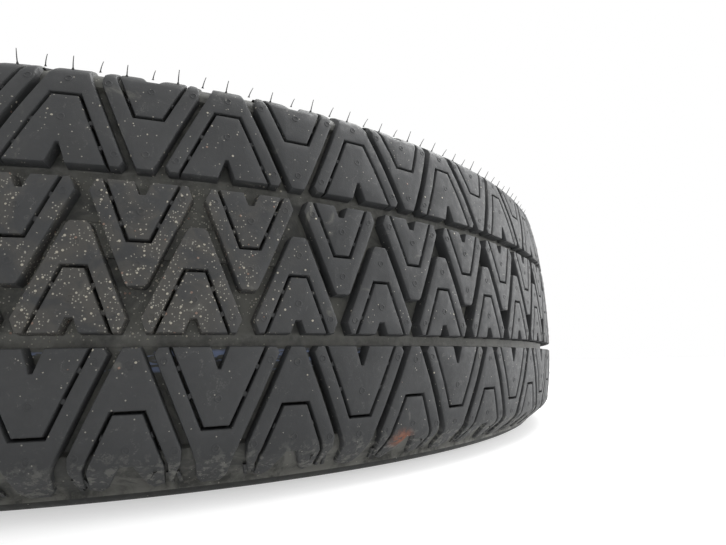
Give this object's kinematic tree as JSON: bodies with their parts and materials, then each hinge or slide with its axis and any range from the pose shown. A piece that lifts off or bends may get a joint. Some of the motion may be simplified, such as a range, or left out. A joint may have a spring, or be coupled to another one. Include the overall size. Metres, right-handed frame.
{
  "type": "temporary spare wheel",
  "caption": "Narrow temporary spare wheel: tyre with trapezoid tread blocks on a rolled steel rim, pressed disc with bolt holes and vents, snap-in valve with cap.",
  "frame": {"origin": "middle of the wheel, on the axle line halfway between the two sides of the tyre", "axes": "+Z along the axle line to the outboard side, +X from the middle to the valve"},
  "size_m": [0.57, 0.57, 0.135],
  "materials": {
    "tyre": "matte",
    "rim_paint": "satin",
    "weld": "satin",
    "valve_rubber": "matte",
    "brass": "satin",
    "seal": "matte",
    "spring_steel": "satin",
    "cap_plastic": "matte"
  },
  "bodies": {
    "wheel": {"tyre": "tyre", "rim": "rim_paint", "disc": "rim_paint", "weld_beads": "weld", "valve_rubber": "valve_rubber", "valve_stem": "brass", "core_housing": "brass", "core_spring": "spring_steel"},
    "pin": {"core_pin": "brass", "core_seal": "seal"},
    "cap": {"valve_cap": "cap_plastic", "cap_seal": "seal"}
  },
  "joints": [
    {"name": "pin_press", "type": "slide", "parent": "wheel", "child": "pin", "axis": [0.6885, 0, -0.7252], "range_m": [0, 0.0015], "stiffness_N_per_m": 300, "springref_m": -0.001, "deforming": ["core_spring"]},
    {"name": "cap_off", "type": "slide", "parent": "wheel", "child": "cap", "axis": [-0.6885, 0, 0.7252], "range_m": [0, 0.03]}
  ]
}
